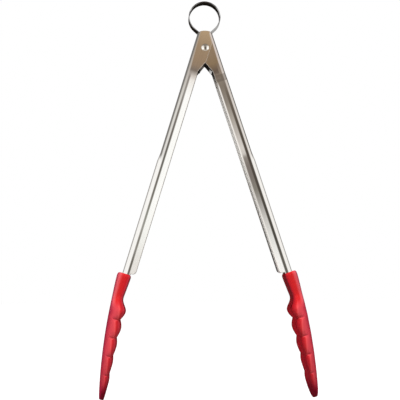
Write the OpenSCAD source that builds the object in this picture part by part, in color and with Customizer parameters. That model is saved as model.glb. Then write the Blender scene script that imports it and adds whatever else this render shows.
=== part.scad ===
// Spring loaded kitchen tongs, open and hanging from their ring.
// The origin is the centre of the ring, +Z is up, and the rivet lies along Y.

/* [Opening] */
// Angle of each arm from the centre line when the tongs are open
open_angle = 17.5; // [12:0.5:22]
// Distance from the ring's centre down to the rivet
rivet_drop = 26.2; // [25:0.1:30]

/* [Arms] */
// Thickness of the pressed sheet
sheet_t = 0.9; // [0.7:0.05:1.0]
// Width of a channel across its flanges
channel_w = 19; // [18:0.5:22]
// Distance from the rivet to the outside of the back, above the step
back_upper = 9.3; // [9:0.1:10.5]
// How far the back steps outwards on its way down
step_out = 0.7; // [0.3:0.1:1.5]
// Distance from the rivet to the middle of the step
step_at = 95; // [70:1:120]
// Length of the step
step_len = 6; // [4:1:12]
// Outside radius of the bent corners, above the step
corner_upper = 2.6; // [1.5:0.1:3]
// Outside radius of the bent corners, below the step
corner_lower = 3.8; // [3:0.1:5]
// Distance from the rivet to the end of the full flanges
flange_end = 190.2; // [150:0.1:210]
// Radius of the corner at the end of each flange
flange_corner = 3; // [1:0.5:4]

/* [Ears] */
// Radius of the top of the ears, around the rivet
ear_r = 13.8; // [13:0.1:15]
// How far the ears reach past the rivet towards the other arm
ear_reach = 4.2; // [3.5:0.1:5]
// Distance from the rivet down to the ears' lower corner
ear_drop = 12; // [9:0.5:14]
// Gap between the left arm's ears and the right arm's, which lie inside them
ear_gap = 0.3; // [0.2:0.05:0.4]

/* [Rivet] */
// Diameter of the rivet's shank
shank_d = 3.6; // [3:0.1:3.8]
// Diameter of the domed heads
rivet_head_d = 6; // [5:0.1:8]
// Height of a domed head
rivet_head_h = 1.6; // [1:0.1:2.5]
// Radial clearance of the ears on the shank
hinge_clear = 0.05; // [0.02:0.01:0.1]

/* [Spring] */
// Diameter of the spring wire
wire_d = 1.2; // [1:0.05:1.25]
// Distance from one turn of the wire to the next
turn_pitch = 1.35; // [1.3:0.01:1.4]
// Half turns in the coil before the last part turn
half_turns = 17; // [15:2:17]
// Distance from the rivet at which a leg presses on its arm
leg_at = 30; // [26:1:36]

/* [Lock ring] */
// Outside diameter of the ring
ring_d = 25.8; // [24:0.1:27]
// Thickness of the ring's strip
strip_t = 0.8; // [0.6:0.05:0.9]
// Width of the ring's strip
strip_w = 9.6; // [8:0.1:9.8]
// Angle from straight down at which the strip leaves the circle
ring_leave = 43; // [40:1:44]
// Distance from the centre line to the middle of each leg
leg_x = 4; // [3.9:0.05:4.2]
// Radius of the bend where a leg turns into the ring
neck_r = 2; // [1.5:0.1:2.5]
// Radius of the hook at the foot of each leg
hook_r = 1.3; // [1.2:0.05:1.5]
// Distance from the rivet down to the middle of the hook
hook_drop = 16.8; // [15:0.1:20]
// Height of the hook's straight end
hook_h = 2.6; // [2:0.1:3.5]
// How far the ring pulls out
lock_travel = 6; // [5:0.5:7]

/* [Heads] */
// Distance from the rivet to the top of a head
head_top = 191.2; // [190.6:0.1:192]
// Thickness of the silicone over the arm's back
collar_wall = 3.35; // [2:0.05:3.6]
// How far the collar stands out past each flange
collar_side = 2.3; // [2:0.1:3]
// Radius of the curve of a head's back
spine_r = 411; // [380:1:480]
// Half of the head's width at its lobes
lobe_half = 20; // [18:0.5:22]
// Depth of the notches between lobes, across the head
lobe_depth = 1.6; // [1:0.1:2]
// Distance from the rivet to the first lobe
lobe_first = 220.3; // [217:0.1:221]
// Distance from the last lobe to the tip
tip_len = 13.4; // [12:0.1:16]
// Distance from the rivet to the tip of a head
reach = 291.3; // [288:0.1:294]
// Thickness of the silicone over the arm's tongue, inside the scoop
tongue_cover = 0.3; // [0.2:0.05:0.6]
// Thickness of the silicone at the rims
rim_wall = 3.6; // [3:0.1:4]
// Width of the arm's tongue inside the head
tongue_w = 12; // [8:1:14]
// Diameter of the holes through that tongue, which the silicone fills
key_d = 4.5; // [3:0.5:5]

/* [Hidden] */
$fn = 48;

steel = [0.80, 0.78, 0.74];
spring_steel = [0.62, 0.62, 0.63];
silicone = [0.80, 0.11, 0.13];

back_lower = back_upper + step_out;
nested_w = channel_w - 2 * (sheet_t + ear_gap);
nest_end = 24;
nest_blend = 6;
step_top = step_at - step_len / 2;
step_foot = step_at + step_len / 2;
far = 400;

// The catch is a tongue cut from each back and bent inwards over the hook's path.
catch_w = 6;
catch_gap = 0.3;
catch_slack = 0.2;
catch_over = 0.6;
window_gap = 0.3;
window_h = 5;
closed_lean = 1.1;
pocket_x = leg_x + hook_r;
catch_foot = hook_drop + hook_r - strip_t / 2 - lock_travel - catch_gap - catch_slack;
catch_top = catch_foot - hook_h - hook_r - strip_t - catch_over;
catch_x = pocket_x - sin(closed_lean) * catch_foot;

// Each leg of the spring leaves the coil along a tangent and ends against the inside of an arm's back.
wire_r = wire_d / 2;
coil_clear = 0.2;
foot_clear = 0.1;
coil_r = shank_d / 2 + coil_clear + wire_r;
foot_n = back_upper - sheet_t - wire_r - foot_clear;
foot = [
    leg_at * sin(open_angle) + foot_n * cos(open_angle),
    foot_n * sin(open_angle) - leg_at * cos(open_angle)
];
foot_angle = atan2(foot[1], foot[0]);
leave_angle = acos(coil_r / norm(foot));
leg_len = norm(foot) * sin(leave_angle);
coil_start = 180 - foot_angle + leave_angle;
part_turn = 360 + (2 * foot_angle - 2 * leave_angle - 180) % 180 - 180;
coil_lean = atan(turn_pitch / 4 / coil_r);
coil_rise = norm([coil_r, turn_pitch / 4]);
coil_len = (half_turns + 0.5) * turn_pitch / 2 - cos(part_turn) * turn_pitch / 4;

ring_r = (ring_d - strip_t) / 2;
hook_x = leg_x + 2 * hook_r;

// The back of a head is an arc that runs straight on from the arm's back near the collar.
spine_from = 193;
spine_lean = 1.75;
spine_x = spine_r * cos(spine_lean) - (back_lower + collar_wall);
spine_z = spine_r * sin(spine_lean) - spine_from;
lobes = 5;
last_lobe = reach - tip_len;
lobe_pitch = (last_lobe - lobe_first) / (lobes - 1);
// Where a notch lies between two lobes, as a share of their distance.
notch_part = 0.49;
collar_half = channel_w / 2 + collar_side;
// How far the tongue lies below the line of the arm's back, and the wall of the scoop that holds it.
tongue_sink = 0.3;
tongue_in = collar_wall + tongue_sink;
crown_wall = tongue_in + sheet_t + tongue_cover;
collar_end = lobe_first - 9;
lip_r = 1.5;

// Points of an arc about c, from angle a0 to a1.
function arc(c, r, a0, a1, n) =
    [for (i = [0:n]) let (a = a0 + (a1 - a0) * i / n) c + r * [cos(a), sin(a)]];
// A smooth step from 0 to 1.
function ease(t) = (1 - cos(180 * min(max(t, 0), 1))) / 2;

function lobe_at(i) = lobe_first + lobe_pitch * i;
function notch_at(i) = lobe_at(i) + lobe_pitch * notch_part;
// How far out from the flange line the rim lies at each lobe and notch.
function lobe_rim(i) = -(1.25 + 0.17 * i + 0.175 * i * i);
function notch_rim(i) = 1.05 - 1.45 * i;

// Lays an outline drawn in X and Z flat between y0 and y0 + t.
module plate(y0, t) {
    translate([0, y0 + t, 0]) rotate([90, 0, 0]) linear_extrude(t) children();
}

// A rectangle whose two corners on the -X side are rounded.
module round_back(x0, x1, w, r) {
    polygon(concat(
        [[x1, -w / 2], [x1, w / 2]],
        arc([x0 + r, w / 2 - r], r, 90, 180, 10),
        arc([x0 + r, r - w / 2], r, 180, 270, 10)
    ));
}

module channel_outside(back, w, r) {
    round_back(-back, 0, w, r);
}

module channel_inside(back, w, r) {
    round_back(sheet_t - back, 1, w - 2 * sheet_t, r - sheet_t);
}

// Raises a section between two distances from the rivet.
module run(d0, d1) {
    translate([0, 0, -d1]) linear_extrude(d1 - d0) children();
}

module channel_run(back, w, r, d0, d1) {
    run(d0, d1) difference() {
        channel_outside(back, w, r);
        channel_inside(back, w, r);
    }
}

// A short run that changes from one section, [back, width, corner], to another.
module channel_change(from, to, d0, d1) {
    seam = 0.01;
    difference() {
        hull() {
            run(d0 - seam, d0) channel_outside(from[0], from[1], from[2]);
            run(d1, d1 + seam) channel_outside(to[0], to[1], to[2]);
        }
        hull() {
            run(d0 - 2 * seam, d0) channel_inside(from[0], from[1], from[2]);
            run(d1, d1 + 2 * seam) channel_inside(to[0], to[1], to[2]);
        }
    }
}

// Outline of one ear, in X and Z.
module ear_outline() {
    shoulder = [-0.6, 13.1];
    nose_z = 5.2;
    chin_r = 1.5;
    root = 20;
    bend = corner_upper - back_upper;
    intersection() {
        polygon(concat(
            [[bend, ear_r], shoulder, [ear_reach, nose_z]],
            arc([ear_reach - chin_r, chin_r - ear_drop], chin_r, 0, -60, 6),
            [[0, -root], [-1, -root - 1], [bend, -root - 1]]
        ));
        union() {
            circle(ear_r, $fn = 96);
            translate([-far / 2, -far]) square([far, far]);
        }
    }
}

// The tongue that the hook catches, with the window it was cut from.
module catch_tongue() {
    root = back_upper - sheet_t / 2;
    translate([-root, -catch_w / 2, -catch_top - sheet_t])
        cube([root - catch_x + sheet_t / 2, catch_w, sheet_t]);
    translate([-catch_x - sheet_t / 2, -catch_w / 2, -catch_foot])
        cube([sheet_t, catch_w, catch_foot - catch_top]);
}

module catch_window() {
    w = catch_w + 2 * window_gap;
    foot = catch_foot + window_h;
    translate([-back_upper - 1, -w / 2, -foot]) cube([3, w, foot - catch_top - sheet_t]);
}

// The part of the sheet that is moulded into the head: low flanges, then a curved tongue.
module arm_tail() {
    low_flange = 6;
    low_end = 204;
    tongue_end = lobe_at(3.6);
    key_at = [lobe_at(0.6), lobe_at(2.1)];
    difference() {
        channel_run(back_lower, channel_w, corner_lower, flange_end - 1, low_end);
        translate([low_flange - back_lower, -far, -far]) cube([far, 2 * far, far]);
    }
    difference() {
        along_spine(flange_end + 4, tongue_end)
            translate([spine_r - tongue_in - sheet_t, -tongue_w / 2]) square([sheet_t, tongue_w]);
        for (d = key_at) translate([-far / 2, 0, -d]) rotate([0, 90, 0]) cylinder(d = key_d, h = far);
    }
}

// The arm from below its step to the end of its tail.
module arm_foot() {
    channel_run(back_lower, channel_w, corner_lower, step_foot, flange_end);
    arm_tail();
}

// Cuts everything above the rivet down to the ears' round top.
module ear_limit() {
    rotate([90, 0, 0]) cylinder(r = ear_r, h = far, center = true, $fn = 96);
    translate([-far / 2, -far / 2, -far]) cube([far, far, far]);
}

// What is cut off the end of the flanges to round their corner.
module flange_cut() {
    r = flange_corner;
    difference() {
        translate([-r, -channel_w, -flange_end - 1]) cube([r + 1, 2 * channel_w, r + 1]);
        translate([-r, 0, r - flange_end]) rotate([90, 0, 0]) cylinder(r = r, h = far, center = true);
    }
}

// One arm, hanging straight down from the rivet at the origin, its back towards -X.
module arm(ear_w) {
    nested = ear_w < channel_w;
    upper_from = nested ? nest_end + nest_blend : -ear_r;
    ears = [back_upper, ear_w, corner_upper];
    above = [back_upper, channel_w, corner_upper];
    below = [back_lower, channel_w, corner_lower];
    difference() {
        union() {
            intersection() {
                union() {
                    if (nested) channel_run(back_upper, ear_w, corner_upper, -ear_r, nest_end);
                    channel_run(back_upper, channel_w, corner_upper, upper_from, step_top);
                }
                ear_limit();
            }
            if (nested) channel_change(ears, above, nest_end, upper_from);
            for (s = [0, 1]) mirror([0, s, 0]) plate(ear_w / 2 - sheet_t, sheet_t) ear_outline();
            channel_change(above, below, step_top, step_foot);
            arm_foot();
        }
        rotate([90, 0, 0]) cylinder(r = shank_d / 2 + hinge_clear, h = far, center = true);
        catch_window();
        flange_cut();
    }
    catch_tongue();
}

// Sweeps a section along the curve of the head's back. The section's X is measured from the curve's centre.
module along_spine(d0, d1) {
    a0 = asin((d0 + spine_z) / spine_r);
    a1 = asin((d1 + spine_z) / spine_r);
    translate([spine_x, 0, spine_z]) rotate([90, 0, 0]) rotate([0, 0, 180 + a0])
        rotate_extrude(angle = a1 - a0, $fn = 720) children();
}

// An arched section: half its width, the radius of its crown from the spine's centre, and how square it is.
module arch(half, crown, square_by) {
    depth = 16;
    p = 2 / square_by;
    polygon(concat(
        [for (i = [0:24]) let (a = 7.5 * i) [
            crown - depth * (1 - pow(abs(sin(a)), p)),
            half * sign(cos(a)) * pow(abs(cos(a)), p)
        ]]
    ));
}

// Distance of the rim from the flange line, at distance d from the rivet.
function rim(d) =
    let (
        i = floor((d - lobe_first) / lobe_pitch + 0.51),
        down = d >= lobe_at(i),
        side = (1 - notch_part) * lobe_pitch
    )
    down
        ? lobe_rim(i) + (notch_rim(i) - lobe_rim(i))
            * (1 - cos(90 * (d - lobe_at(i)) / (lobe_pitch - side)))
        : notch_rim(i - 1) + (lobe_rim(i) - notch_rim(i - 1)) * sin(90 * (d - notch_at(i - 1)) / side);

// Side view of a head: collar, valley, lobed rim and rounded tip.
module head_side() {
    collar_front = 4;
    valley_h = 9.5;
    valley_x = [-3.8, 1.25];
    valley_at = lobe_first - valley_h;
    tip_r = 2.2;
    tip_in = 5.2;
    polygon(concat(
        [[-far, -head_top], [-collar_front, -head_top]],
        arc([-collar_front, -head_top - lip_r], lip_r, 90, 10, 4),
        [for (i = [0:8]) [
            valley_x[0] + (valley_x[1] - valley_x[0]) * ease(i / 8),
            -valley_at - valley_h * i / 8
        ]],
        [for (d = [lobe_first + 1:1.2:last_lobe]) [-rim(d), -d]],
        [[-lobe_rim(lobes - 1), -last_lobe], [tip_in - 0.2, 6.5 - reach]],
        arc([tip_in - tip_r, tip_r - reach], tip_r, 0, -90, 5),
        [[-far, -reach]]
    ));
}

// Half of the head's width at distance d from the rivet, in from its lobes by inset.
function half_at(d, inset) =
    let (
        flare = 11,
        t = abs(((d - lobe_first) / lobe_pitch + 0.5) % 1 - 0.5) * 2,
        lobed = lobe_half - lobe_depth * (1 - sqrt(1 - t * t)),
        tip = reach + 0.2 - inset - last_lobe
    )
    d < lobe_first
        ? collar_half + (lobe_half - collar_half) * ease((d - lobe_first + flare) / flare) - inset
        : d < last_lobe
            ? lobed - inset
            : (lobe_half - inset) * sqrt(max(0, 1 - pow((d - last_lobe) / tip, 2)));

// View of a head from its back, in Y and Z.
module head_plan(inset, d0, d1) {
    side = [for (d = [d0:1.2:d1]) [half_at(d, inset), -d]];
    points = concat([[half_at(d0, inset), -d0]], side, [[half_at(d1, inset), -d1]]);
    polygon(concat(points, [for (i = [len(points) - 1:-1:0]) [-points[i][0], points[i][1]]]));
}

// Stands an outline drawn in Y and Z along X.
module through_x() {
    translate([-60, 0, 0]) rotate([90, 0, 90]) linear_extrude(120) children();
}

// One head in place on an arm that hangs straight down.
module head() {
    collar_depth = 14;
    collar_corner = 4.5;
    skim = 0.1;
    scoop_from = lobe_first - 6;
    difference() {
        intersection() {
            plate(-30, 60) head_side();
            through_x() head_plan(0, head_top, reach);
            union() {
                along_spine(head_top - 2, collar_end) translate([spine_r, 0]) mirror([1, 0])
                    round_back(0, collar_depth, 2 * (collar_half + skim), collar_corner);
                along_spine(collar_end - 7, reach + 2) arch(lobe_half + 0.8, spine_r, 2.6);
            }
        }
        intersection() {
            along_spine(scoop_from, reach) arch(lobe_half - rim_wall, spine_r - crown_wall, 2.4);
            through_x() head_plan(rim_wall, scoop_from, reach - 6);
        }
        arm_foot();
    }
}

module at_rivet() {
    translate([0, 0, -rivet_drop]) children();
}

module left_side() {
    at_rivet() rotate([0, open_angle, 0]) children();
}

module right_side() {
    mirror([1, 0, 0]) left_side() children();
}

module left_arm() {
    color(steel) left_side() arm(channel_w);
}

module right_arm() {
    color(steel) right_side() arm(nested_w);
}

module left_head() {
    color(silicone) left_side() head();
}

module right_head() {
    color(silicone) right_side() head();
}

module rivet() {
    seat_gap = 0.1;
    edge_h = 0.35;
    head_at = channel_w / 2 + seat_gap;
    dome_h = rivet_head_h - edge_h;
    dome_r = (pow(rivet_head_d / 2, 2) + dome_h * dome_h) / (2 * dome_h);
    color(steel) at_rivet() {
        rotate([90, 0, 0]) cylinder(d = shank_d, h = 2 * head_at + edge_h, center = true);
        for (s = [0, 1]) mirror([0, s, 0]) translate([0, -head_at, 0]) rotate([90, 0, 0]) {
            cylinder(d = rivet_head_d, h = edge_h);
            intersection() {
                translate([0, 0, edge_h + dome_h - dome_r]) sphere(dome_r);
                translate([0, 0, edge_h]) cylinder(d = rivet_head_d, h = dome_h);
            }
        }
    }
}

// Half a turn of the coil. Each half turn leans the other way, so that their ends meet.
module half_turn(i, angle) {
    translate([0, 0, turn_pitch * (i + 0.5) / 2])
        rotate([0, 0, 180 * i]) rotate([0, coil_lean, 0])
            rotate_extrude(angle = angle) translate([coil_rise, 0]) circle(wire_r, $fn = 24);
}

// A leg starts just inside the coil's end, and is a hair thinner so that it lies within it.
module spring_leg() {
    start = 0.2;
    leg_r = wire_r - 0.03;
    translate([0, 0, -start]) cylinder(r = leg_r, h = start + leg_len, $fn = 24);
    translate([0, 0, leg_len]) sphere(leg_r, $fn = 24);
}

module torsion_spring() {
    color(spring_steel) at_rivet() rotate([90, 0, 0])
        translate([0, 0, -coil_len / 2]) rotate([0, 0, coil_start]) {
            for (i = [0:half_turns - 1]) half_turn(i, 180);
            half_turn(half_turns, part_turn);
            translate([coil_r, 0, 0]) rotate([90, 0, 0]) spring_leg();
            rotate([0, 0, 180 * half_turns + part_turn])
                translate([coil_r, 0, coil_len]) rotate([-90, 0, 0]) spring_leg();
        }
}

// The circle of the ring, open at the foot. It runs one degree into the start of each leg.
module ring_arc() {
    open = ring_leave - 1;
    difference() {
        circle(ring_r + strip_t / 2, $fn = 128);
        circle(ring_r - strip_t / 2, $fn = 128);
        polygon([[0, 0], 60 * [sin(open), -cos(open)], 60 * [-sin(open), -cos(open)]]);
    }
}

// A bend in the strip, between two directions from its middle.
module strip_bend(r, from, to) {
    difference() {
        circle(r + strip_t / 2);
        circle(r - strip_t / 2);
        polygon([[0, 0], for (i = [0:4]) let (a = to + (360 + from - to) * i / 4) 10 * [cos(a), sin(a)]]);
    }
}

// One leg of the strip, from the ring down to the end of its hook.
module strip_leg() {
    t = strip_t / 2;
    ring_edge = ring_r * [sin(ring_leave), -cos(ring_leave)];
    neck_x = leg_x + neck_r * (1 - sin(ring_leave));
    slope = (ring_edge[0] - neck_x) / cos(ring_leave);
    neck = ring_edge + slope * [-cos(ring_leave), -sin(ring_leave)];
    leg_top = neck[1] - neck_r * cos(ring_leave);
    hook_z = -rivet_drop - hook_drop;
    translate(neck) rotate(ring_leave) translate([0, -t]) square([slope, strip_t]);
    translate([leg_x + neck_r, leg_top]) strip_bend(neck_r, 90 + ring_leave, 180);
    translate([leg_x - t, hook_z]) square([strip_t, leg_top - hook_z]);
    translate([pocket_x, hook_z]) strip_bend(hook_r, 180, 360);
    translate([hook_x - t, hook_z]) square([strip_t, hook_h]);
}

module lock_ring() {
    color(steel) plate(-strip_w / 2, strip_w) {
        ring_arc();
        for (s = [0, 1]) mirror([s, 0]) strip_leg();
    }
}

left_arm();
right_arm();
left_head();
right_head();
rivet();
torsion_spring();
lock_ring();
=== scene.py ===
import math

import bmesh
import bpy
from mathutils import Matrix, Vector


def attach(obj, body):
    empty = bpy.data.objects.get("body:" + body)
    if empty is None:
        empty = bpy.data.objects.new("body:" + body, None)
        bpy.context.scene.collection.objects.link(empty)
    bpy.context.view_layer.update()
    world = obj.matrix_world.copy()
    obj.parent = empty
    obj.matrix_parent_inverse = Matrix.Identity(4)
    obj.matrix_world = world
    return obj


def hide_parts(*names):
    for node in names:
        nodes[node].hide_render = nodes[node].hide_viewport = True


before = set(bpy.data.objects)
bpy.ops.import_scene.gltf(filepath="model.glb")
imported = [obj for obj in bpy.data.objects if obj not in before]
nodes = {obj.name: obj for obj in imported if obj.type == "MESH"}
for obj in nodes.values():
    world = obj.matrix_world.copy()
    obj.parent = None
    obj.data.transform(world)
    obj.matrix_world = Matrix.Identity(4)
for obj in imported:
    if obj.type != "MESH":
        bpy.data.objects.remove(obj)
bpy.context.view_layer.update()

mm = 0.001
ops = bpy.ops

# metres from the middle of the ring, and degrees; the angle is how wide the lens sees
view = {
    "at": (-0.04007, -0.8503, -0.22479),
    "tilt": 95.153,
    "roll": 0.608,
    "turn": -2.301,
    "angle": 21.212,
    "reach": (0.01, 50),
}


def placeCamera():
    ops.object.camera_add(location=view["at"])
    camera = bpy.context.object
    camera.name = "camera"
    camera.data.sensor_fit = "HORIZONTAL"
    camera.data.angle = math.radians(view["angle"])
    camera.rotation_euler = [math.radians(view[key]) for key in ("tilt", "roll", "turn")]
    camera.data.clip_start, camera.data.clip_end = view["reach"]
    bpy.context.scene.camera = camera


placeCamera()
bpy.context.scene.view_settings.view_transform = "Standard"
print("camera placed")


# shader maths: a wire is one output socket, and a sum on it adds a Math node
class Wire:
    def __init__(self, sheet, socket):
        self.sheet = sheet
        self.socket = socket

    def sum(self, operation, first, second):
        return self.sheet.node("Math", {"operation": operation}, {0: first, 1: second})

    def __add__(self, other):
        return self.sum("ADD", self, other)

    def __sub__(self, other):
        return self.sum("SUBTRACT", self, other)

    def __rsub__(self, other):
        return self.sum("SUBTRACT", other, self)

    def __mul__(self, other):
        return self.sum("MULTIPLY", self, other)

    def __truediv__(self, other):
        return self.sum("DIVIDE", self, other)

    def __pow__(self, other):
        return self.sum("POWER", self, other)

    def __abs__(self):
        return self.sheet.node("Math", {"operation": "ABSOLUTE"}, {0: self})

    def larger(self, other):
        return self.sum("MAXIMUM", self, other)

    def between(self, low, high):
        # 0 below low, 1 above high, smooth in between
        settings = {"interpolation_type": "SMOOTHSTEP"}
        return self.sheet.node("MapRange", settings, {"Value": self, "From Min": low, "From Max": high})

    __radd__ = __add__
    __rmul__ = __mul__


class Sheet:
    def __init__(self, tree):
        self.tree = tree

    def node(self, kind, settings=None, values=None, out=0):
        made = self.tree.nodes.new("ShaderNode" + kind)
        for key, value in (settings or {}).items():
            if key == "stops":
                ramp = made.color_ramp
                while len(ramp.elements) < len(value):
                    ramp.elements.new(0.5)
                for element, (place, colour) in zip(ramp.elements, value):
                    element.position = place
                    element.color = (*colour, 1)
            else:
                setattr(made, key, value)
        for key, value in (values or {}).items():
            self.feed(made.inputs[key], value)
        return Wire(self, made.outputs[out]) if made.outputs else None

    def feed(self, socket, value):
        if isinstance(value, Wire):
            self.tree.links.new(value.socket, socket)
        elif hasattr(value, "__len__") and len(value) == 3 and socket.type == "RGBA":
            socket.default_value = (*value, 1)
        else:
            socket.default_value = value

    def mix(self, share, first, second):
        return self.node("Mix", {"data_type": "RGBA"}, {0: share, 6: first, 7: second}, out=2)

    def place(self):
        return self.node("TexCoord", out="Object")

    def axis(self, where, i):
        return self.node("SeparateXYZ", None, {0: where}, out=i)

    def spread(self, where, scale):
        return self.node("VectorMath", {"operation": "MULTIPLY"}, {0: where, 1: scale})

    def noise(self, where, scale, detail):
        return self.node("TexNoise", None, {"Vector": where, "Scale": scale, "Detail": detail})

    def rounded(self, radius):
        return self.node("Bevel", {"samples": 6}, {"Radius": radius * mm})

    def bump(self, strength, depth, height, **more):
        values = {"Strength": strength, "Distance": depth * mm, "Height": height, **more}
        return self.node("Bump", None, values)


def finish(name, fixed):
    # a material with its shader's constants set, and the sheet to wire it on
    made = bpy.data.materials.new(name)
    made.use_nodes = True
    sheet = Sheet(made.node_tree)
    sheet.shader = made.node_tree.nodes["Principled BSDF"]
    for key, value in fixed.items():
        sheet.feed(sheet.shader.inputs[key], value)
    sheet.material = made
    return sheet


def wireUp(sheet, **sockets):
    for key, value in sockets.items():
        sheet.feed(sheet.shader.inputs[key.replace("_", " ")], value)
    return sheet.material


def layOver(sheet, share, other):
    # another shader over the main one, as far as share says
    main = Wire(sheet, sheet.shader.outputs[0])
    both = sheet.node("MixShader", None, {0: share, 1: main, 2: other})
    sheet.feed(sheet.tree.nodes["Material Output"].inputs["Surface"], both)
    return sheet.material


def dress(name, material):
    mesh = nodes[name].data
    mesh.materials.clear()
    mesh.materials.append(material)


def paint(red, green, blue):
    # a colour written in 0 to 255 display values
    return [((value / 255 + 0.055) / 1.055) ** 2.4 for value in (red, green, blue)]


black = (0, 0, 0)
white = (1, 1, 1)
armLean = 17.5
rivetAt = Vector((0, 0, -26.2 * mm))

# how the polished sheet's tone runs down each arm, all of it painted reflection and painted shade, as pairs
# of millimetres from the rivet and a colour
tones = {
    "leftFlange": (
        (-14, (180, 154, 122)), (0, (158, 134, 107)), (10, (154, 130, 105)), (16, (147, 126, 105)),
        (20.5, (124, 112, 102)), (25, (205, 196, 187)), (29, (240, 235, 228)), (41, (255, 254, 250)),
        (130, (255, 254, 250)), (150, (249, 248, 243)), (165, (240, 239, 233)), (181, (229, 225, 219))),
    "leftBand": (
        (25, (146, 137, 130)), (40, (150, 145, 138)), (55, (126, 119, 112)), (75, (110, 104, 98)),
        (94, (108, 105, 98)), (125, (120, 115, 106)), (141, (142, 142, 132)), (154, (158, 155, 147)),
        (162, (132, 128, 120)), (172, (142, 138, 131)), (181, (104, 100, 92))),
    "leftInside": (
        (-14, (226, 218, 208)), (24, (232, 226, 219)), (34, (206, 203, 197)), (181, (206, 203, 197))),
    "leftStrip": (
        (0, (176, 160, 143)), (25, (192, 185, 177)), (45, (216, 213, 205)), (92, (226, 223, 218)),
        (98, (250, 248, 244))),
    "rightFlange": (
        (-14, (152, 130, 101)), (7, (143, 121, 97)), (14, (138, 116, 89)), (20.5, (104, 89, 77)),
        (22.4, (112, 98, 86)), (24, (134, 120, 107)), (27.2, (150, 136, 123)), (28.2, (138, 126, 113)),
        (34, (130, 119, 106)), (47, (143, 134, 123)), (61, (172, 164, 153)), (74, (193, 186, 178)),
        (86, (216, 210, 203)), (91, (206, 200, 193)), (94, (146, 138, 130)), (101, (129, 120, 113)),
        (110, (127, 119, 112)), (121, (135, 130, 120)), (134, (172, 168, 162)), (147, (205, 202, 196)),
        (161, (224, 223, 218)), (181, (243, 241, 237))),
    "rightBand": (
        (20, (142, 126, 110)), (28, (136, 124, 112)), (41, (112, 101, 89)), (54, (100, 90, 79)),
        (74, (86, 78, 68)), (94, (82, 73, 66)), (147, (78, 74, 66)), (161, (76, 72, 66)),
        (181, (98, 94, 87))),
    "rightInside": (
        (-14, (24, 18, 13)), (21, (28, 22, 17)), (28, (236, 232, 226)), (80, (240, 237, 231)),
        (104, (196, 192, 186)), (130, (168, 164, 158)), (150, (142, 139, 134)), (165, (120, 118, 113)),
        (181, (92, 90, 86))),
    "rightStrip": (
        (0, (216, 204, 197)), (30, (206, 197, 188)), (60, (222, 216, 209)), (92, (230, 225, 219)),
        (98, (246, 243, 238))),
}

# millimetres back from the flanges' edges, down from the rivet, or across from the middle of the arm;
# a pair of them is where a change of tone starts and where it ends
pressed = {
    "left": {
        "bandBack": ((4.0, 4.8), (5.7, 6.5)), "bandDown": (20, 27),
        "outerBack": (7.5, 8.0), "outerTone": (134, 131, 126), "footBack": (9.1, 9.5)},
    "right": {
        "bandBack": ((4.0, 4.8), (6.2, 7.0)), "bandDown": (12, 22),
        "outerBack": (8.1, 8.6), "outerTone": (104, 100, 93), "footBack": (9.0, 9.4)},
    "toneTop": -15,             # where the tones above start, and the length of arm that they run over
    "toneLength": 200,
    "grain": (1.4, 1.4, 0.014),
    "haze": (0.11, 0.11, 0.010),
    "turnBack": (5.7, 6.5),
    "turnLater": 0.9,           # how much further back the sheet turns at the ears
    "earsDown": (-14, 36),
    "stepDown": (92, 98),
    "turnedAcross": (5.2, 6.2),
    "footTone": (188, 185, 180),
    "edgeHighlightTone": (222, 213, 203),
    "edgeHighlightRadius": 0.9,
    "edgeHighlightBent": (0.02, 0.10),
    "edgeHighlightBack": (4.0, 4.6),
    "edgeHighlightDown": (20, 30),
    "edgeHighlightShare": (0.6, 0.2),  # on the ears, and how much more below them
    "lineTone": (248, 243, 237),
    "lineBack": (0.7, 1.3),
    "lineAcross": (9.0, 9.2),
    "lineDown": (28, 36),
    "fadeDown": (90, 110),
    "lineShare": (0.9, 0.35),   # above where it fades, and how much less below
    "streaks": (0.40, 0.75),
    "streakShare": 0.16,
    "streakDark": 0.72,
    "innerFace": 9.05,
    "nestedFace": 7.85,
    "nestedDown": (24, 30),
    "innerAcross": (-0.2, 0.2),
    "innerBack": (4.0, 4.4),
    "litTone": (255, 253, 249),
    "litBack": (0.3, 0.75),
    "litDown": (27, 34),
    "litLater": 0.55,           # how much further back the lit part starts, lower down
    "litLaterDown": (70, 130),
    "edgeRadius": 0.3,
    "roughness": 0.16,
    "roughBy": (0.08, 0.10, 0.35),  # the grain's share, the haze's and the inside's
}


def armSpot(sheet, side):
    # a place in the arm's own frame in millimetres, hanging straight down with its back towards -X
    lean = math.radians(armLean)
    home = Vector((rivetAt.z * math.sin(lean), 0, -rivetAt.z * math.cos(lean))) / mm
    values = {"Scale": (-side / mm, 1 / mm, 1 / mm), "Rotation": (0, -lean, 0), "Location": home}
    return sheet.node("Mapping", None, {"Vector": sheet.place(), **values})


def toneAlong(sheet, down, name):
    top, length = pressed["toneTop"], pressed["toneLength"]
    stops = [((place - top) / length, paint(*colour)) for place, colour in tones[name]]
    return sheet.node("ValToRGB", {"stops": stops}, {0: (down - top) / length})


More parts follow.
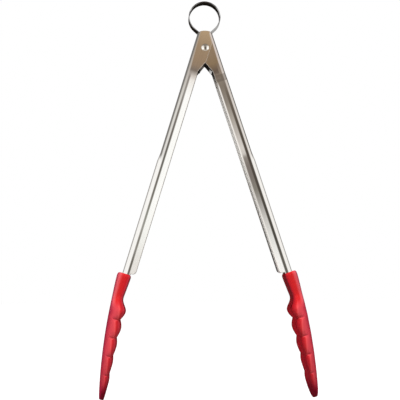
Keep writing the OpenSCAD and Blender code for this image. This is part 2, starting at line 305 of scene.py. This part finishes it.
def pressedSteel(name, side):
    sheet = finish(name + " pressed steel", {"IOR": 1.5})
    spot = armSpot(sheet, side)
    shape = pressed[name]
    # rolling marks run along the arm
    fine = sheet.noise(sheet.spread(spot, pressed["grain"]), 1.0, 4)
    broad = sheet.noise(sheet.spread(spot, pressed["haze"]), 1.0, 2)
    back, down = sheet.axis(spot, 0) * -1, sheet.axis(spot, 2) * -1
    across = abs(sheet.axis(spot, 1))
    foot = down.between(*pressed["stepDown"])
    turn = back - (1 - down.between(*pressed["earsDown"])) * pressed["turnLater"]
    turn = turn.between(*pressed["turnBack"])
    # the flange's tone and the lighter strip where the sheet turns are painted reflections
    shade = sheet.mix(turn, toneAlong(sheet, down, name + "Flange"), toneAlong(sheet, down, name + "Strip"))
    # where the sheet turns into the back it shows a darker band of painted reflection, and another at its
    # outermost, which is lighter below the step
    starts, ends = [back.between(*pair) for pair in shape["bandBack"]]
    band = starts * (1 - ends) * down.between(*shape["bandDown"])
    shade = sheet.mix(band, shade, toneAlong(sheet, down, name + "Band"))
    turned = across.between(*pressed["turnedAcross"])
    outer = back.between(*shape["outerBack"]) * (1 - foot) * turned
    shade = sheet.mix(outer, shade, paint(*shape["outerTone"]))
    outer = back.between(*shape["footBack"]) * foot * turned
    shade = sheet.mix(outer, shade, paint(*pressed["footTone"]))
    # a painted highlight brightens the cut edges
    normals = {0: sheet.rounded(pressed["edgeHighlightRadius"]), 1: sheet.node("NewGeometry", out="Normal")}
    bent = 1 - sheet.node("VectorMath", {"operation": "DOT_PRODUCT"}, normals, out="Value")
    share, more = pressed["edgeHighlightShare"]
    edgeHighlight = bent.between(*pressed["edgeHighlightBent"]) * (1 - back.between(*pressed["edgeHighlightBack"]))
    edgeHighlight = edgeHighlight * (share + down.between(*pressed["edgeHighlightDown"]) * more)
    shade = sheet.mix(edgeHighlight, shade, paint(*pressed["edgeHighlightTone"]))
    if side > 0:
        # a painted highlight runs along the edges of the right arm's flanges
        share, less = pressed["lineShare"]
        line = (1 - back.between(*pressed["lineBack"])) * across.between(*pressed["lineAcross"])
        line = line * down.between(*pressed["lineDown"])
        line = line * (share - down.between(*pressed["fadeDown"]) * less)
        shade = sheet.mix(line, shade, paint(*pressed["lineTone"]))
    streaks = fine.between(*pressed["streaks"]) * pressed["streakShare"]
    shade = sheet.mix(streaks, shade, sheet.mix(pressed["streakDark"], black, shade))
    # the channel's inner faces are matt and grey, with painted shade that is near black under the right arm's
    # ears and darker towards the bottom of its inside; the right arm's ears nest in the left's
    face = pressed["innerFace"]
    if side > 0:
        nested = pressed["nestedFace"]
        face = down.between(*pressed["nestedDown"]) * (face - nested) + nested
    inside = 1 - (across - face).between(*pressed["innerAcross"])
    inside = inside * (1 - back.between(*pressed["innerBack"]))
    dull = toneAlong(sheet, down, name + "Inside")
    if side > 0:
        # a painted highlight lies on the right arm's inside, just behind its front edge
        lit = back - down.between(*pressed["litLaterDown"]) * pressed["litLater"]
        lit = lit.between(*pressed["litBack"]) * down.between(*pressed["litDown"])
        dull = sheet.mix(lit, dull, paint(*pressed["litTone"]))
    shade = sheet.mix(inside, shade, dull)
    bump = sheet.bump(0.05, 0.1, fine, Normal=sheet.rounded(pressed["edgeRadius"]))
    grainBy, hazeBy, insideBy = pressed["roughBy"]
    rough = pressed["roughness"] + (fine - 0.5) * grainBy + (broad - 0.5) * hazeBy + inside * insideBy
    return wireUp(sheet, Base_Color=shade, Roughness=rough, Metallic=1 - inside, Normal=bump)


# radii and places in metres from the middle of the ring
strip = {
    "colour": (0.66, 0.65, 0.63),
    "dull": (0.34, 0.33, 0.31),
    "dullFrom": (0.35, 0.75),
    "shaded": (0.22, 0.215, 0.205),
    "shadedUp": (-0.002, 0.004),
    # two dark matt tones of painted shade, for the inside of the ring and one shoulder
    "scale": ((0.016, 0.011, 0.008), (0.05, 0.04, 0.03)),
    "rims": ((0.16, 0.155, 0.15), (0.52, 0.515, 0.51)),
    "rimStreaks": (0.4, 0.6),
    "rimTop": (0.03, 0.02, 0.014),
    "rimTopFrom": (0.0098, 0.0124),
    "rimFrom": (0.0046, 0.0047),
    "insideTo": (0.01215, 0.0124),
    "outsideFrom": (0.0126, 0.0129),
    "shoulderAcross": (-0.004, -0.002),
    "shoulderUp": (-0.004, 0.004),
    "drawn": (60, 1500, 60),  # the grain of its rolling, finest across the strip
    "blotches": 140,
    "edgeRadius": 0.2,        # millimetres
    "roughness": 0.14,
}


def stripSteel():
    sheet = finish("strip steel", {"Metallic": 1.0, "IOR": 2.5})
    spot = sheet.place()
    fine = sheet.noise(sheet.spread(spot, strip["drawn"]), 1.0, 3)
    broad = sheet.noise(spot, strip["blotches"], 3)
    across, up = sheet.axis(spot, 0), sheet.axis(spot, 2)
    away = (across * across + up * up) ** 0.5
    outside = away.between(*strip["outsideFrom"])
    shade = sheet.mix(broad.between(*strip["dullFrom"]) * 0.5, strip["colour"], strip["dull"])
    shade = sheet.mix(outside * (1 - up.between(*strip["shadedUp"])), shade, strip["shaded"])
    # its cut edges are grey and streaked, with painted shade that makes them darkest at the top
    rim = sheet.mix(broad.between(*strip["rimStreaks"]), *strip["rims"])
    rim = sheet.mix(up.between(*strip["rimTopFrom"]), rim, strip["rimTop"])
    cut = abs(sheet.axis(spot, 1)).between(*strip["rimFrom"])
    shade = sheet.mix(cut, shade, rim)
    bump = sheet.bump(0.08, 0.1, fine, Normal=sheet.rounded(strip["edgeRadius"]))
    wireUp(sheet, Base_Color=shade, Roughness=fine * 0.08 + strip["roughness"], Normal=bump)
    # the inside of the ring, and its outside at one shoulder, carry painted shade in two dark matt tones
    shoulder = outside * (1 - across.between(*strip["shoulderAcross"]))
    shoulder = shoulder * (1 - up.between(*strip["shoulderUp"]))
    paintedShade = ((1 - away.between(*strip["insideTo"])) * (1 - cut)).larger(shoulder)
    darker, lighter = [sheet.node("BsdfDiffuse", None, {"Color": colour}) for colour in strip["scale"]]
    return layOver(sheet, paintedShade, sheet.node("MixShader", None, {0: broad, 1: darker, 2: lighter}))


# places in millimetres from the rivet's middle
rivetHead = {
    "tones": ((0.42, 0.36, 0.29), (0.25, 0.22, 0.18)),
    "scuffs": 1500,
    "highlightTone": (0.97, 0.93, 0.86),
    "highlightFrom": (0.7, 1.5),
    "highlightUp": ((-2.4, -1.0), (0.8, 2.0)),
    "darkReflection": (0.10, 0.085, 0.07),
    "darkReflectionAt": (0.15, -0.9),
    "darkReflectionEnds": (0.4, 1.3),
    "darkReflectionTall": 0.45,
    "roughness": 0.20,
}


def rivetSteel():
    sheet = finish("rivet steel", {"Metallic": 1.0, "IOR": 2.5})
    spot = sheet.place()
    scuffs = sheet.noise(spot, rivetHead["scuffs"], 4)
    aside = sheet.axis(spot, 0) * (1 / mm)
    up = (sheet.axis(spot, 2) - rivetAt.z) * (1 / mm)
    shade = sheet.mix(scuffs * 0.3, *rivetHead["tones"])
    # both cheeks of the dome carry painted highlights, and a painted dark reflection lies low on it
    starts, ends = [up.between(*pair) for pair in rivetHead["highlightUp"]]
    highlights = abs(aside).between(*rivetHead["highlightFrom"]) * starts * (1 - ends)
    shade = sheet.mix(highlights, shade, rivetHead["highlightTone"])
    aside, up = aside - rivetHead["darkReflectionAt"][0], up - rivetHead["darkReflectionAt"][1]
    away = (aside * aside + up * up * rivetHead["darkReflectionTall"]) ** 0.5
    shade = sheet.mix(1 - away.between(*rivetHead["darkReflectionEnds"]), shade, rivetHead["darkReflection"])
    rough = scuffs * 0.12 + rivetHead["roughness"]
    return wireUp(sheet, Base_Color=shade, Roughness=rough, Normal=sheet.bump(0.06, 0.05, scuffs))


drawnWire = {
    "tones": ((0.42, 0.41, 0.40), (0.16, 0.155, 0.15)),
    "grain": 700,
    "roughness": 0.22,
}


def wireSteel():
    sheet = finish("spring wire", {"Metallic": 1.0, "IOR": 2.5})
    drawn = sheet.noise(sheet.place(), drawnWire["grain"], 3)
    shade = sheet.mix(drawn * 0.6, *drawnWire["tones"])
    rough = drawn * 0.15 + drawnWire["roughness"]
    return wireUp(sheet, Base_Color=shade, Roughness=rough, Normal=sheet.bump(0.1, 0.05, drawn))


# tones across the outside of a head, a painted highlight band between painted shade at its back and rim, from
# the middle of its back (0) to its rim (1), then down the scoop (2); heights are in metres from the middle of
# the ring
rubber = {
    "collar": (
        (0.0, (192, 40, 60)), (0.12, (188, 42, 64)), (0.2, (184, 54, 80)), (0.37, (240, 98, 106)),
        (0.48, (228, 76, 80)), (0.57, (212, 36, 38)), (0.78, (206, 30, 34)), (0.92, (178, 22, 36)),
        (1.05, (140, 12, 26)), (2.0, (160, 14, 26))),
    "lobes": (
        (0.0, (188, 36, 58)), (0.12, (182, 36, 62)), (0.2, (172, 40, 72)), (0.3, (196, 50, 78)),
        (0.39, (216, 58, 76)), (0.55, (228, 72, 84)), (0.68, (230, 74, 82)), (0.74, (242, 86, 90)),
        (0.79, (214, 44, 50)), (0.88, (190, 30, 38)), (0.97, (182, 20, 32)), (1.08, (168, 10, 26)),
        (1.4, (186, 14, 32)), (2.0, (190, 16, 34))),
    "collarFrom": (-0.236, -0.226),
    "arc": 0.19,
    "arcMiddle": 0.75,
    "arcRows": ((0.4, 0.7), (0.95, 1.0)),
    "blotches": 60,
    "blotchFrom": (0.3, 0.8),
    "blotchDark": 0.80,
    "leftRim": (206, 56, 68),
    "leftRimRows": ((0.82, 0.95), (1.1, 1.25)),
    "leftTo": (-0.01, 0.01),
    "low": (160, 18, 40),
    "lowFrom": (-0.296, -0.258),
    "tips": ((192, 32, 72), (136, 9, 34)),
    "tipFrom": (-0.2985, -0.2875),
    "tipRows": (0.35, 0.7),
    "grain": 2600,
    "gloss": 0.013,
    "glossTone": (1, 0.86, 0.90),
    "roughness": 0.36,
}


def silicone():
    sheet = finish("red silicone", {"Metallic": 0.0, "Specular IOR Level": 0.0, "Roughness": 0.9})
    spot = sheet.place()
    broad = sheet.noise(spot, rubber["blotches"], 3)
    grain = sheet.noise(spot, rubber["grain"], 4)
    height = sheet.axis(spot, 2)
    row = sheet.node("Attribute", {"attribute_name": "rowShare"}, out="Fac")
    lobe = sheet.node("Attribute", {"attribute_name": "lobeShare"}, out="Fac")
    # each lobe's side, with its painted highlight, ends in an arc, wide of its rim at the top and close to it
    # at the notch below
    starts, ends = [row.between(*pair) for pair in rubber["arcRows"]]
    arced = row + (lobe - rubber["arcMiddle"]) * starts * (1 - ends) * rubber["arc"]
    shades = []
    for part, across in (("lobes", arced), ("collar", row)):
        stops = [(place / 2, paint(*colour)) for place, colour in rubber[part]]
        shades.append(sheet.node("ValToRGB", {"stops": stops}, {0: across * 0.5}))
    shade = sheet.mix(height.between(*rubber["collarFrom"]), *shades)
    blotches = broad.between(*rubber["blotchFrom"]) * 0.3
    shade = sheet.mix(blotches, shade, sheet.mix(rubber["blotchDark"], black, shade))
    # the left rim is a lighter red of painted light, and painted shade makes both heads darker towards their
    # tips
    starts, ends = [row.between(*pair) for pair in rubber["leftRimRows"]]
    rim = starts * (1 - ends) * (1 - sheet.axis(spot, 0).between(*rubber["leftTo"]))
    shade = sheet.mix(rim * 0.8, shade, paint(*rubber["leftRim"]))
    shade = sheet.mix((1 - height.between(*rubber["lowFrom"])) * 0.40, shade, paint(*rubber["low"]))
    tip = 1 - height.between(*rubber["tipFrom"])
    tipShade = sheet.mix(row.between(*rubber["tipRows"]), *[paint(*colour) for colour in rubber["tips"]])
    shade = sheet.mix(tip, shade, tipShade)
    bump = sheet.bump(0.08, 0.08, grain)
    wireUp(sheet, Base_Color=shade, Normal=bump)
    # a low satin gloss that doesn't whiten at the edges, and is lower still on the tips
    rough = rubber["roughness"] + (grain - 0.5) * 0.10 + (broad - 0.5) * 0.08
    gloss = {"Color": rubber["glossTone"], "Roughness": rough, "Normal": bump}
    return layOver(sheet, (1 - tip * 0.6) * rubber["gloss"], sheet.node("BsdfAnisotropic", None, gloss))


dress("left_arm", pressedSteel("left", -1))
dress("right_arm", pressedSteel("right", 1))
dress("lock_ring", stripSteel())
dress("rivet", rivetSteel())
redSilicone = silicone()
springWire = wireSteel()
print("finishes made")


def editMesh():
    return bmesh.from_edit_mesh(bpy.context.object.data)


def pick(wanted):
    # in edit mode, select only the vertices that pass the test
    mesh = editMesh()
    for vertex in mesh.verts:
        vertex.select = wanted(vertex)
    mesh.select_flush_mode()
    bmesh.update_edit_mesh(bpy.context.object.data)


def stretch(factor, centre):
    ops.transform.resize(value=factor, center_override=centre)


def capRing(wanted):
    pick(wanted)
    ops.mesh.edge_face_add()


def settle(piece, angle=30):
    # clean the mesh, and leave the object at the origin with its place in its mesh
    ops.object.mode_set(mode="OBJECT")
    ops.object.select_all(action="DESELECT")
    piece.select_set(True)
    bpy.context.view_layer.objects.active = piece
    ops.object.mode_set(mode="EDIT")
    ops.mesh.select_all(action="SELECT")
    ops.mesh.remove_doubles(threshold=0.002 * mm)
    ops.mesh.normals_make_consistent(inside=False)
    ops.object.mode_set(mode="OBJECT")
    ops.object.transform_apply(location=True, rotation=True, scale=True)
    ops.object.shade_smooth_by_angle(angle=math.radians(angle))


def ease(share):
    return (1 - math.cos(math.pi * min(max(share, 0), 1))) / 2


# lengths in millimetres, down the arm from the rivet and across it
head = {
    "top": 191.2,
    "startRadius": 12,              # of the plain circle that a head is grown from
    "lip": 1.8,                     # how far the collar's end is drawn in
    "lipShares": (1, 0.42, 0.08),   # and how much of that each of its first slices takes
    "collarHalf": 11.8,
    "collarFront": (-2.6, -3.8),
    "collarThicker": (0.55, 26),    # how much thicker its back is at the top, and over what length
    "backRadius": 411.0,
    "backCentre": (397.35, 180.45),
    "valley": 9.5,                  # from the collar's lowest front to the first lobe
    "lobes": 5,
    "firstLobe": 220.3,
    "lastLobe": 277.9,
    "lobeRise": (1.3, 0.17, 0.175),
    "notchRise": (-1.0, 1.45),
    "reach": 291.0,
    "half": 20.1,
    "notchIn": 2.6,
    "flare": 11.0,
    "archHalf": 20.8,               # the width of an arch that is deep enough,
    "archDepth": 16,                # how deep that is,
    "archPower": 2.6,               # and how its width falls where it is shallower
    "tipRound": 0.15,
    "tipFront": 5.2,
    "backSquare": 2.9,
    "scoopSquare": 2.3,
    "backWall": 5.0,
    "rimWall": 3.6,
    "rimLeast": 0.35,               # the share of the width that the scoop has at least
    "rimRounds": (16, 12),          # how far above the first lobe, and over what length
    "scoopStarts": (8, 11),
    "scoopEnds": (6, 5),
    "scoopLeast": (0.02, 0.3),
    "arcPlain": 0.9,
    "arcRise": 0.09,
    "finer": 2,
}
lobePitch = (head["lastLobe"] - head["firstLobe"]) / (head["lobes"] - 1)
notchShare = 0.49
wallTurns = (90, 76, 62, 49, 37, 26, 16, 7, 2.6, 0)
wallLobed = (0, 0, 0, 0, 0.03, 0.26, 0.74, 1, 1, 1)  # how much of a lobe's scallop each row of the wall takes
wallIn = (0, 0, 0, 0, 0, 0, 0.1, 0.4, 1.0, 2.3)  # millimetres that each row is drawn in, to round the rim
scoopTurns = (0, 10, 24, 40, 57, 74, 90)
# slices down from the collar's top, then in shares of each lobe's pitch, then down from the last lobe
collarSteps = (0, 0.5, 1.6, 3.6, 7, 11, 15, 17, 19.5, 22, 24.5, 27)
lobeSteps = (0, 0.16, 0.31, 0.42, 0.47, notchShare, 0.52, 0.58, 0.70, 0.85)
tipSteps = (0, 2.5, 5, 7.3, 9.3, 10.9, 12.0, 12.65, 12.97)


def lobeFront(i):
    # each lobe stands further forward than the one above it, and so does each notch
    plain, rise, bend = head["lobeRise"]
    return plain + rise * i + bend * i * i


def notchFront(i):
    plain, rise = head["notchRise"]
    return rise * i + plain


def backAt(d):
    x, centre = head["backCentre"]
    most, over = head["collarThicker"]
    thicker = most * (1 - ease((d - head["top"]) / over))
    return x - thicker - math.sqrt(head["backRadius"] ** 2 - (d - centre) ** 2)


def frontAt(d):
    # where the rim lies, from the line of the arm's flanges
    first, last, lobes = head["firstLobe"], head["lastLobe"], head["lobes"]
    start, end = head["collarFront"]
    valley = first - head["valley"]
    if d <= valley:
        return start + (end - start) * (d - head["top"]) / (valley - head["top"])
    if d <= first:
        return end + (lobeFront(0) - end) * ease((d - valley) / head["valley"])
    if d >= last:
        share = (d - last) / (head["reach"] - last)
        return lobeFront(lobes - 1) + (head["tipFront"] - lobeFront(lobes - 1)) * share
    i = math.floor((d - first) / lobePitch + 1 - notchShare)
    lobe = first + lobePitch * i
    if d >= lobe:
        share = (d - lobe) / (lobePitch * notchShare)
        return lobeFront(i) + (notchFront(i) - lobeFront(i)) * (1 - math.cos(math.pi / 2 * share))
    share = (d - lobe + lobePitch * (1 - notchShare)) / (lobePitch * (1 - notchShare))
    return notchFront(i - 1) + (lobeFront(i) - notchFront(i - 1)) * math.sin(math.pi / 2 * share)


def lobeShare(d):
    # 0 at each notch, 1 soon below it, then falling ever faster to 0 at the next notch
    first, last = head["firstLobe"], head["lastLobe"]
    if d < first or d > last:
        return head["arcPlain"]
    share = ((d - first) / lobePitch - notchShare) % 1
    return min(1 - share ** 3, share / head["arcRise"])


def halfAt(d, lobed):
    # half the width, with as much of the lobes' scallop as lobed says
    first, last, half, collar = [head[key] for key in ("firstLobe", "lastLobe", "half", "collarHalf")]
    if d < first:
        return collar + (half - collar) * ease((d - first + head["flare"]) / head["flare"])
    depth, power = frontAt(d) - backAt(d), head["archPower"]
    arched = head["archHalf"] * (1 - max(0, 1 - depth / head["archDepth"]) ** power) ** (1 / power)
    if d < last:
        away = abs(((d - first) / lobePitch + 0.5) % 1 - 0.5) * 2
        return min(half - lobed * head["notchIn"] * (1 - math.sqrt(1 - away * away)), arched)
    share = (d - last) / (head["reach"] + head["tipRound"] - last)
    return min(half * math.sqrt(max(0, 1 - share ** 2)), arched)


def hollowAt(d):
    # how deep the scoop is behind the rim
    least, shallowest = head["scoopLeast"]
    (above, opens), (short, closes) = head["scoopStarts"], head["scoopEnds"]
    full = max(frontAt(d) - backAt(d) - head["backWall"], shallowest)
    start, end = head["firstLobe"] - above, head["reach"] - short
    return least + full * ease((d - start) / opens) * ease((end - d) / closes)


def squared(turn, square):
    # a point this many degrees round a squared quarter circle, as its shares forward and across
    sine, cosine = math.sin(math.radians(turn)), max(math.cos(math.radians(turn)), 0)
    return sine ** (2 / square), cosine ** (2 / square)


def sliceAt(d, inset):
    # one slice of the head as pairs either side: its outer wall from crown to rim, then its scoop
    back, front = backAt(d) + inset, frontAt(d) - inset
    above, over = head["rimRounds"]
    rows = []
    for turn, lobed, drawn in zip(wallTurns, wallLobed, wallIn):
        half = halfAt(d, lobed) - inset - drawn * ease((d - head["firstLobe"] + above) / over)
        forward, across = squared(turn, head["backSquare"])
        rows.append((back + (front - back) * (1 - forward), half * across))
    half = halfAt(d, 1) - inset
    inner = max(half - head["rimWall"], half * head["rimLeast"])
    for turn in scoopTurns:
        forward, across = squared(turn, head["scoopSquare"])
        rows.append((front - hollowAt(d) * forward, inner * across))
    return rows


def headStations():
    first, last, top = head["firstLobe"], head["lastLobe"], head["top"]
    found = [top + step for step in collarSteps]
    for i in range(head["lobes"] - 1):
        lobe = first + lobePitch * i
        found += [lobe + lobePitch * share for share in lobeSteps]
    return found + [last + step for step in tipSteps]


def ringOrder(count):
    # a slice's rows in turn round its ring, each with its side: over the back, then through the scoop
    walls = len(wallTurns)
    outer = [(row, 1) for row in reversed(range(walls))] + [(row, -1) for row in range(1, walls)]
    scoop = [(row, -1) for row in range(walls, count)]
    return outer + scoop + [(row, 1) for row in reversed(range(walls, count - 1))]


def markRows(piece):
    # what the silicone's tones follow: a point's share of the way round, and of the way down its lobe
    walls, scoops = len(wallTurns), len(scoopTurns)
    shares = [i / (walls - 1) for i in range(walls)] + [1 + (i + 1) / scoops for i in range(scoops)]
    mesh = editMesh()
    names = ("rowShare", "lobeShare")
    for name in names:
        mesh.verts.layers.float.new(name)
    rowOf = mesh.verts.layers.int["row"]
    shareOf, lobeOf = [mesh.verts.layers.float[name] for name in names]
    for vertex in mesh.verts:
        vertex[shareOf] = shares[vertex[rowOf] - 1]
        vertex[lobeOf] = lobeShare(-vertex.co.z / mm)
    bmesh.update_edit_mesh(piece.data)


def growHead():
    # a ring of points round the collar, drawn down the arm slice by slice
    stations = headStations()
    insets = dict(enumerate(head["lip"] * share for share in head["lipShares"]))
    rows = sliceAt(stations[0], insets[0])
    order = ringOrder(len(rows))
    ops.object.select_all(action="DESELECT")
    ops.mesh.primitive_circle_add(vertices=len(order), radius=head["startRadius"] * mm, fill_type="NOTHING")
    piece = bpy.context.object
    ops.object.mode_set(mode="EDIT")
    mesh = editMesh()
    rowOf = mesh.verts.layers.int.new("row")
    for vertex, (row, side) in zip(mesh.verts, order):
        vertex[rowOf] = row + 1
    spots = [vertex.co.copy() for vertex in mesh.verts]
    for i, (row, side) in enumerate(order):
        x, y = rows[row]
        pick(lambda vertex: vertex.index == i)
        ops.transform.translate(value=Vector((x * mm, side * y * mm, -stations[0] * mm)) - spots[i])
    ops.mesh.select_all(action="SELECT")
    for k, (before, after) in enumerate(zip(stations, stations[1:])):
        ops.mesh.extrude_region_move(TRANSFORM_OT_translate={"value": (0, 0, (before - after) * mm)})
        fresh = {vertex.index for vertex in editMesh().verts if vertex.select}
        fromRows, toRows = sliceAt(before, insets.get(k, 0)), sliceAt(after, insets.get(k + 1, 0))
        for row, ((xWas, yWas), (x, y)) in enumerate(zip(fromRows, toRows)):
            rowOf = editMesh().verts.layers.int["row"]
            pick(lambda vertex: vertex.index in fresh and vertex[rowOf] == row + 1)
            ops.transform.translate(value=((x - xWas) * mm, 0, 0))
            if yWas > 0.001:
                stretch((1, y / yWas, 1), (x * mm, 0, -after * mm))
        pick(lambda vertex: vertex.index in fresh)
    for end in (stations[-1], stations[0]):
        capRing(lambda vertex: abs(vertex.co.z + end * mm) < 0.01 * mm)
    markRows(piece)
    return piece


def makeHeads():
    piece = growHead()
    piece.name = "leftHead"
    settle(piece)
    finer = piece.modifiers.new("finer", "SUBSURF")
    finer.levels = finer.render_levels = head["finer"]
    ops.object.modifier_apply(modifier=finer.name)
    ops.object.duplicate()
    other = bpy.context.object
    other.name = "rightHead"
    other.scale = (-1, 1, 1)
    settle(other)
    for made, lean, body in ((piece, armLean, "left_side"), (other, -armLean, "right_side")):
        made.location = rivetAt
        made.rotation_euler = (0, math.radians(lean), 0)
        settle(made, 60)
        made.data.materials.append(redSilicone)
        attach(made, body)
        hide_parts(body.replace("side", "head"))


makeHeads()
print("heads modelled")

# lengths in millimetres; the coil runs round the rivet, and each leg leaves it along a tangent
spring = {
    "wire": 0.6,
    "sides": 12,
    "coil": 2.6,
    "pitch": 1.35,
    "turns": 17 / 2 + 73.6 / 360,
    "start": 323.2,
    "leg": 30.86,
    "legSteps": (8, 14),
    "legEnd": ((0.3, 0.85), (0.2, 0.6)),  # lengths past the leg, and the share of its width that each leaves
    "overlap": 40.0,                      # degrees of each leg that run inside the coil's last turn
    "thinner": 0.03,                      # how much thinner a leg is, so that the turn hides it
    "steps": 28,
    "leastSteps": 6,
}


def wireRing(thinner=0):
    ops.object.select_all(action="DESELECT")
    ops.mesh.primitive_circle_add(
        vertices=spring["sides"], radius=(spring["wire"] - thinner) * mm,
        location=(spring["coil"] * mm, 0, 0), rotation=(math.radians(90), 0, 0), fill_type="NOTHING")
    piece = bpy.context.object
    ops.object.transform_apply(location=True, rotation=True, scale=True)
    return piece


def windUp(piece, turns):
    coil = piece.modifiers.new("coil", "SCREW")
    coil.axis = "Z"
    coil.angle = 2 * math.pi * turns
    coil.screw_offset = spring["pitch"] * turns * mm
    coil.steps = coil.render_steps = max(spring["leastSteps"], round(spring["steps"] * turns))
    ops.object.modifier_apply(modifier=coil.name)


def drawOut(length):
    ops.mesh.extrude_region_move(TRANSFORM_OT_translate={"value": (0, -length * mm, 0)})


def seatSpring(piece, half=0):
    length = spring["pitch"] * spring["turns"] * mm
    turn = Matrix.Rotation(half, 4, "Z") @ Matrix.Rotation(math.radians(90), 4, "X")
    start = Matrix.Rotation(math.radians(spring["start"]), 4, "Z")
    piece.matrix_world = Matrix.Translation(rivetAt) @ turn @ Matrix.Translation((0, 0, -length / 2)) @ start
    settle(piece, 60)
    piece.data.materials.append(springWire)
    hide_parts("torsion_spring")


def makeCoil():
    coil = wireRing()
    coil.name = "springCoil"
    windUp(coil, spring["turns"])
    ops.object.mode_set(mode="EDIT")
    near = (spring["wire"] + 0.05) * mm
    for end in (0, spring["turns"]):
        where = Matrix.Rotation(2 * math.pi * end, 3, "Z") @ Vector((spring["coil"] * mm, 0, 0))
        where.z = spring["pitch"] * end * mm
        capRing(lambda vertex: (vertex.co - where).length < near and vertex.is_boundary)
    seatSpring(coil)
    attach(coil, "pivot")


def makeLegs():
    leg = wireRing(spring["thinner"])
    leg.name = "leftSpringLeg"
    windUp(leg, spring["overlap"] / 360)
    ops.object.mode_set(mode="EDIT")
    capRing(lambda vertex: vertex.is_boundary and vertex.co.y > 0.5 * mm)
    pick(lambda vertex: vertex.is_boundary)
    for length in (*spring["legSteps"], spring["leg"] - sum(spring["legSteps"])):
        drawOut(length)
    for length, size in spring["legEnd"]:
        drawOut(length)
        place = sum((vertex.co for vertex in editMesh().verts if vertex.select), Vector()) / spring["sides"]
        stretch((size, size, size), place)
    ops.mesh.edge_face_add()
    ops.object.mode_set(mode="OBJECT")
    ops.object.duplicate()
    other = bpy.context.object
    other.name = "rightSpringLeg"
    for piece, half, body in ((leg, 0, "left_side"), (other, math.pi, "right_side")):
        seatSpring(piece, half)
        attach(piece, body)


makeCoil()
makeLegs()
print("spring wound")

# metres from the middle of the ring; each soft box has its place, size and watts
studio = {
    "floor": -0.319,
    "floorSize": 30,
    "floorPaint": 0.35,
    "floorGlow": 0.965,
    "world": 0.26,
    "sides": (0.60, 0.59, 0.58),
    "aheadFrom": (-0.35, -0.05),
    "aboveFrom": (0.42, 0.6),
    "aim": (0, 0, -0.16),
    "softBoxes": (
        ("left soft box", (-1.6, -0.7, 0.35), (1.8, 1.8), 5),
        ("right soft box", (1.6, -0.7, 0.35), (1.8, 1.8), 4),
        ("top soft box", (-0.1, -1.1, 1.35), (1.8, 1.4), 41)),
}


def seenRay(sheet):
    # 1 where the camera or a reflection looks, so that the background is white in both
    names = ("Is Camera Ray", "Is Glossy Ray", "Is Transmission Ray")
    path = [sheet.node("LightPath", out=name) for name in names]
    return path[0].larger(path[1]).larger(path[2])


def layFloor():
    ops.object.select_all(action="DESELECT")
    ops.mesh.primitive_plane_add(size=studio["floorSize"], location=(0, 0, studio["floor"]))
    floor = bpy.context.object
    floor.name = "floor"
    made = bpy.data.materials.new("white floor")
    made.use_nodes = True
    sheet = Sheet(made.node_tree)
    sheet.tree.nodes.clear()
    level = studio["floorPaint"]
    matt = sheet.node("BsdfDiffuse", None, {"Color": (level, level, level)})
    glow = sheet.node("Emission", None, {"Color": white, "Strength": seenRay(sheet) * studio["floorGlow"]})
    both = sheet.node("AddShader", None, {0: matt, 1: glow})
    sheet.node("OutputMaterial", None, {"Surface": both})
    floor.data.materials.append(made)


def lightWorld():
    # white all round for the camera; reflections find white ahead and beside, and grey behind and above
    world = bpy.data.worlds.new("studio")
    bpy.context.scene.world = world
    world.use_nodes = True
    sheet = Sheet(world.node_tree)
    sheet.tree.nodes.clear()
    way = sheet.node("TexCoord", out="Generated")
    x, y, z = [sheet.axis(way, i) for i in range(3)]
    ahead = y * -1 / ((x * x + y * y) ** 0.5).larger(0.001)
    bright = ahead.between(*studio["aheadFrom"]) * (1 - z.between(*studio["aboveFrom"]))
    seen = sheet.mix(bright, studio["sides"], white)
    glossy = sheet.node("LightPath", out="Is Glossy Ray")
    level = studio["world"]
    colour = sheet.mix(seenRay(sheet), (level, level, level), white)
    light = sheet.node("Background", None, {"Color": sheet.mix(glossy, colour, seen), "Strength": 1.0})
    sheet.node("OutputWorld", None, {"Surface": light})


def softBox(name, at, size, power):
    ops.object.light_add(type="AREA", location=at)
    lamp = bpy.context.object
    lamp.name = name
    lamp.data.shape = "RECTANGLE"
    lamp.data.size, lamp.data.size_y = size
    lamp.data.energy = power
    lamp.visible_glossy = False
    lamp.rotation_euler = (Vector(studio["aim"]) - Vector(at)).to_track_quat("-Z", "Y").to_euler()


layFloor()
lightWorld()
for box in studio["softBoxes"]:
    softBox(*box)
print("studio lit")
